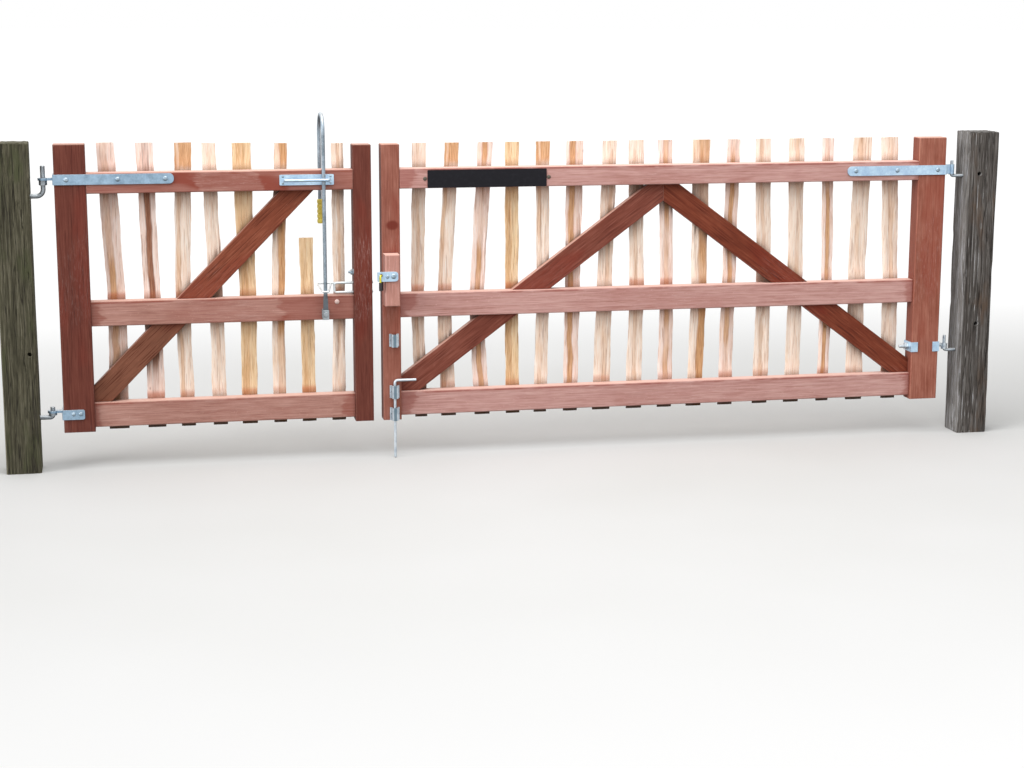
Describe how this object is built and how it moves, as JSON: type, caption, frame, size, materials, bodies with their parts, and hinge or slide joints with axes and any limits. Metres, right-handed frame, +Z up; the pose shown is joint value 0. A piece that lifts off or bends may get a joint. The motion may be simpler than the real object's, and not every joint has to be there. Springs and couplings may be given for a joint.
{
  "type": "two-leaf field gate with cleft pales",
  "caption": "Pair of unequal timber gate leaves with cleft pales, hung on strap hinges between two old posts, with a tall lever latch, draw bolt, drop bolt and sign plate.",
  "frame": {"origin": "middle of the left post's foot, at ground level", "axes": "+X along the gate towards the right post, +Y away from the latch side, +Z up; in a right-handed frame the viewer of the picture stands on the -Y side"},
  "size_m": [4.428, 0.2484, 1.5],
  "materials": {
    "stained_wood": "red-brown stain",
    "pale_wood": "cleft, untreated",
    "old_oak": "weathered",
    "galvanised_steel": "hot-dip galvanised",
    "black_plate": "satin",
    "yellow_grip": "matt",
    "yellow_shackle": "satin",
    "padlock_black": "satin"
  },
  "bodies": {
    "posts": {"left_post": "old_oak", "right_post": "old_oak", "left_top_hook": "galvanised_steel", "left_bottom_hook": "galvanised_steel", "right_top_hook": "galvanised_steel", "right_bottom_hook": "galvanised_steel"},
    "narrow_leaf": {"narrow_hanging_stile": "stained_wood", "narrow_shutting_stile": "stained_wood", "narrow_top_rail": "stained_wood", "narrow_mid_rail": "stained_wood", "narrow_bottom_rail": "stained_wood", "narrow_brace": "stained_wood", "narrow_pales": "pale_wood", "narrow_top_strap": "galvanised_steel", "narrow_bottom_strap": "galvanised_steel", "lever_guide": "galvanised_steel", "lever_bracket": "galvanised_steel"},
    "wide_leaf": {"wide_hanging_stile": "stained_wood", "wide_shutting_stile": "stained_wood", "wide_top_rail": "stained_wood", "wide_mid_rail": "stained_wood", "wide_bottom_rail": "stained_wood", "wide_left_brace": "stained_wood", "wide_right_brace": "stained_wood", "wide_pales": "pale_wood", "wide_top_strap": "galvanised_steel", "wide_eye_bolt": "galvanised_steel", "wide_eye_nut": "galvanised_steel", "wide_eye_saddles": "galvanised_steel", "strike_block": "stained_wood", "keeper_plate": "galvanised_steel", "padlock_body": "padlock_black", "padlock_shackle": "yellow_shackle", "drop_bolt_guides": "galvanised_steel", "sign_plate": "black_plate"},
    "latch_lever": {"latch_lever": "galvanised_steel", "lever_grip": "yellow_grip"},
    "latch_bolt": {"draw_bolt": "galvanised_steel", "bolt_stirrup": "galvanised_steel"},
    "drop_bolt": {"drop_bolt": "galvanised_steel"}
  },
  "joints": [
    {"name": "narrow_leaf_swing", "type": "hinge", "parent": "posts", "child": "narrow_leaf", "pos_m": [0.126, -0.0095, 0.165], "axis": [0, 0, 1], "range_deg": [-90, 90]},
    {"name": "wide_leaf_swing", "type": "hinge", "parent": "posts", "child": "wide_leaf", "pos_m": [4.152, -0.0095, 0.165], "axis": [0, 0, 1], "range_deg": [-90, 90]},
    {"name": "latch_lever_swing", "type": "hinge", "parent": "narrow_leaf", "child": "latch_lever", "pos_m": [1.285, -0.065, 0.643], "axis": [0, -1, 0], "range_deg": [0, 13], "stiffness_Nm_per_rad": 25, "springref_deg": -5.73},
    {"name": "latch_bolt_slide", "type": "slide", "parent": "narrow_leaf", "child": "latch_bolt", "axis": [-1, 0, 0], "range_m": [0, 0.025]},
    {"name": "drop_bolt_lift", "type": "slide", "parent": "wide_leaf", "child": "drop_bolt", "axis": [0, 0, 1], "range_m": [0, 0.125]}
  ],
  "couplings": [
    {"joint": "latch_bolt_slide", "follows": "latch_lever_swing", "m_per_rad": 0.11}
  ]
}
